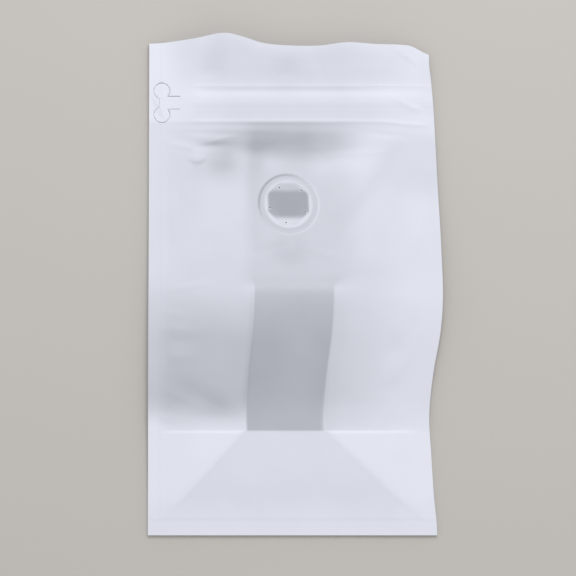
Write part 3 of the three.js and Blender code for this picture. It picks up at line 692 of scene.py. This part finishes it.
def matteFilm():
    # milky matte laminate: white where layers back it, painted grey see-through shade where the table shows
    # through, and the painted shade of its folds
    look = filmLook
    material, tree, principled = newMaterial("matteWhiteFilm", look)
    principled.inputs["Sheen Weight"].default_value = look["sheen"]
    paintedShade = tree.nodes.new("ShaderNodeAttribute")
    paintedShade.attribute_name = "paintedShade"
    cloud = grainOf(tree, look["cloud"], look["cloudDetail"])
    clouded = tree.nodes.new("ShaderNodeMath")
    clouded.operation = "ADD"
    clouded.use_clamp = True
    tree.links.new(paintedShade.outputs["Fac"], clouded.inputs[0])
    tree.links.new(stretched(tree, cloud, -look["cloudShare"], look["cloudShare"]), clouded.inputs[1])
    colourBetween(tree, principled, clouded.outputs[0], look["white"], look["seeThroughShade"])
    grain = grainOf(tree, look["grain"], look["grainDetail"])
    tree.links.new(stretched(tree, grain, *look["roughest"]), principled.inputs["Roughness"])
    linkBump(tree, principled, grain, look)
    return material


def mottled(name, look):
    # a colour that wanders between two tones, with a fine relief
    material, tree, principled = newMaterial(name, look)
    cloud = grainOf(tree, look["cloud"], look["cloudDetail"])
    colourBetween(tree, principled, stretched(tree, cloud, 0, 1), *look["tones"])
    linkBump(tree, principled, grainOf(tree, look["grain"], look["grainDetail"]), look)
    return material


whiteFilm = matteFilm()


# Cutters: the pull tab's die cut and the valve's pinholes
tab = dict(across=-54.2, along=179.3, lobe=3.3, lobeSteps=22, upperArc=(-44, 252), lowerArc=(108, 404),
           span=9.8, strip=5.2, start=7.4, slit=0.14, cutHeight=4.0, cutDepth=12.0)
pinholes = dict(radius=0.27, circle=7.7, count=5, turn=47.0, sides=20, depth=3.0)


def tabPath():
    middle = Vector((tab["across"] + shiftX, tab["along"] + shiftY))
    lift = Vector((0, tab["span"] / 2))
    strip = tab["strip"] / 2

    def lobe(centre, first, last):
        steps = tab["lobeSteps"]
        angles = [math.radians(first + (last - first) * i / steps) for i in range(steps + 1)]
        return [centre + tab["lobe"] * Vector((math.cos(angle), math.sin(angle))) for angle in angles]
    upperCut = [middle + Vector((tab["start"], strip)), middle + Vector((tab["lobe"], strip))]
    lowerCut = [middle + Vector((tab["lobe"], -strip)), middle + Vector((tab["start"], -strip))]
    lobes = lobe(middle + lift, *tab["upperArc"]) + lobe(middle - lift, *tab["lowerArc"])
    return upperCut + lobes + lowerCut


def tabCutter():
    path = tabPath()

    def place(i, side):
        way = (path[min(i + 1, len(path) - 1)] - path[max(i - 1, 0)]).normalized()
        point = path[i] + Vector((-way.y, way.x)) * side * tab["slit"] / 2
        return Vector((point.x, point.y, tab["cutHeight"])) * mm
    cutter = filmGrid("tabCutter", list(range(len(path))), [-1, 1], place)
    makeClosed(cutter, tab["cutDepth"])
    return cutter


def pinholeCutter():
    deselectAll()
    holes = []
    centre = Vector((valveLow[0] + valveHigh[0], valveLow[1] + valveHigh[1])) / 2
    for i in range(pinholes["count"]):
        angle = math.radians(pinholes["turn"] + 360 * i / pinholes["count"])
        place = centre + pinholes["circle"] * mm * Vector((math.cos(angle), math.sin(angle)))
        bpy.ops.mesh.primitive_cylinder_add(
            vertices=pinholes["sides"], radius=pinholes["radius"] * mm, depth=pinholes["depth"] * mm,
            location=(place.x, place.y, valve["height"] * mm))
        holes.append(bpy.context.active_object)
    deselectAll()
    for hole in holes:
        hole.select_set(True)
    bpy.ops.object.join()
    return bpy.context.active_object


def cutOut(piece, cutter):
    apply(piece, "BOOLEAN", operation="DIFFERENCE", solver="EXACT", object=cutter)
    bpy.data.objects.remove(cutter)


def makeFront():
    front = filmGrid("front_film", frontAcross, frontAlong,
                     lambda across, along: spot("front", across, along), paintedShadeAt)
    makeClosed(front, bag["film"])
    cutOut(front, tabCutter())
    cutOut(front, pinholeCutter())
    addPiece(front, "front_panel", whiteFilm)
    print("front film", len(front.data.polygons))


def makeBack():
    back = filmGrid("back_film", plainAcross, plainAlong, lambda across, along: spot("back", across, along))
    makeClosed(back, bag["film"])
    addPiece(back, "back_panel", whiteFilm)
    print("back film", len(back.data.polygons))


baseInset = 0.5     # the base's fold stays this far inside the front's lower step


def makeBase():
    fold = bag["gusset"] - baseInset

    def place(across, row):
        along = min(row, 2 * bag["gusset"] - row) * fold / bag["gusset"]
        if abs(row - bag["gusset"]) < nearly:
            return foldSpot("baseUpper", "baseLower", across, fold)
        return spot("baseUpper" if row < bag["gusset"] else "baseLower", across, along)
    baseFilm = filmGrid("base_film", plainAcross, mirrored(gussetLines), place)
    makeClosed(baseFilm, bag["film"])
    addPiece(baseFilm, "bottom_gusset", whiteFilm)
    print("base film", len(baseFilm.data.polygons))


def makeSideGusset(hand, name, node):
    # columns run over the gusset from front to back, and its foot is tucked in at 45 degrees
    def place(column, row):
        depth = min(column, 2 * bag["gusset"] - column)
        tucked, slanted = depth > row + nearly, abs(depth - row) <= nearly
        across = hand * (halfWidth - (row if tucked else depth))
        along = depth if tucked else row
        if abs(column - bag["gusset"]) < nearly:
            pair = ("tuckUpper", "tuckLower") if tucked else ("sideUpper", "sideLower")
            return foldSpot(*pair, across, along)
        pair = ("sideUpper", "tuckUpper") if column < bag["gusset"] else ("sideLower", "tuckLower")
        if slanted:
            return foldSpot(*pair, across, along)
        return spot(pair[1] if tucked else pair[0], across, along)
    gusset = filmGrid(name, mirrored(gussetLines), gussetAlong, place)
    makeClosed(gusset, bag["film"])
    addPiece(gusset, node, whiteFilm)
    print(name, len(gusset.data.polygons))


makeFront()
makeBack()
makeBase()
makeSideGusset(-1, "left_gusset_film", "left_side_gusset")
makeSideGusset(1, "right_gusset_film", "right_side_gusset")

# The zipper and valve keep their frame pieces and get finishes
zipperLook = dict(tones=[(216, 220, 227), (228, 231, 237)], roughness=0.42, specular=0.45, cloud=300,
                  cloudDetail=3.0, grain=2600, grainDetail=2.0, bump=0.1, bumpDepth=0.00003)
valveLook = {**zipperLook, "tones": [(212, 216, 223), (226, 229, 235)]}
rubberLook = dict(tones=[(72, 75, 80), (84, 86, 90)], roughness=0.6, specular=0.5, cloud=500,
                  cloudDetail=3.0, grain=1800, grainDetail=3.0, bump=0.2, bumpDepth=0.00005)
paperLook = dict(tones=[(206, 196, 176), (226, 219, 204)], roughness=0.9, specular=0.5, cloud=900,
                 cloudDetail=6.0, grain=900, grainDetail=6.0, bump=0.5, bumpDepth=0.0001)


def finishNodes():
    zipperPlastic = mottled("milkyZipper", zipperLook)
    valvePlastic = mottled("milkyValve", valveLook)
    rubber = mottled("smoothDarkRubber", rubberLook)
    paper = mottled("fibrousFilterPaper", paperLook)
    finishes = dict(zipper_upper_tape=zipperPlastic, zipper_lower_tape=zipperPlastic,
                    valve_base=valvePlastic, valve_cap=valvePlastic, valve_disc=rubber, valve_filter=paper)
    for name, material in finishes.items():
        node = bpy.data.objects[name]
        node.data.materials.clear()
        node.data.materials.append(material)
    print("zipper and valve finished")


finishNodes()

# Floor, light and camera
floorLook = dict(colour=(196, 192, 187), roughness=0.85, specular=0.5, size=3.0)
lampLook = dict(energy=4.3, size=0.55, place=(0.12, 0.52, 0.8))
roomLook = dict(colour=(1, 1, 1, 1), strength=0.62)
# The bag's middle line and bottom edge are in pixels of the photo, the camera's distance in millimetres
photo = dict(pixels=576, pixelsPerMm=2.408, middleLine=292.5, bottomEdge=535.0, distance=1400.0)


def makeFloor():
    deselectAll()
    bpy.ops.mesh.primitive_plane_add(size=floorLook["size"], location=(0, 0, 0))
    floor = bpy.context.active_object
    floor.name = "floor"
    material, _, principled = newMaterial("paleTable", floorLook)
    principled.inputs["Base Color"].default_value = srgb(*floorLook["colour"])
    floor.data.materials.append(material)


def makeLight():
    lamp = bpy.data.lights.new("windowLamp", "AREA")
    lamp.energy = lampLook["energy"]
    lamp.size = lampLook["size"]
    lampObject = bpy.data.objects.new("windowLamp", lamp)
    bpy.context.collection.objects.link(lampObject)
    lampObject.location = lampLook["place"]
    lampObject.rotation_euler = (-Vector(lampLook["place"])).to_track_quat("-Z", "Y").to_euler()
    world = bpy.data.worlds.new("softRoom")
    bpy.context.scene.world = world
    world.use_nodes = True
    background = world.node_tree.nodes["Background"]
    background.inputs["Color"].default_value = roomLook["colour"]
    background.inputs["Strength"].default_value = roomLook["strength"]


def makeCamera():
    camera = bpy.data.cameras.new("above")
    cameraObject = bpy.data.objects.new("above", camera)
    bpy.context.collection.objects.link(cameraObject)
    bpy.context.scene.camera = cameraObject
    middle = photo["pixels"] / 2
    x = (middle - photo["middleLine"]) / photo["pixelsPerMm"] + shiftX
    y = (photo["bottomEdge"] - middle) / photo["pixelsPerMm"] + shiftY
    cameraObject.location = Vector((x, y, photo["distance"])) * mm
    seen = photo["pixels"] / photo["pixelsPerMm"]
    camera.lens = camera.sensor_width * photo["distance"] / seen


makeFloor()
makeLight()
makeCamera()
bpy.context.scene.view_settings.view_transform = "Standard"
print("stage ready")
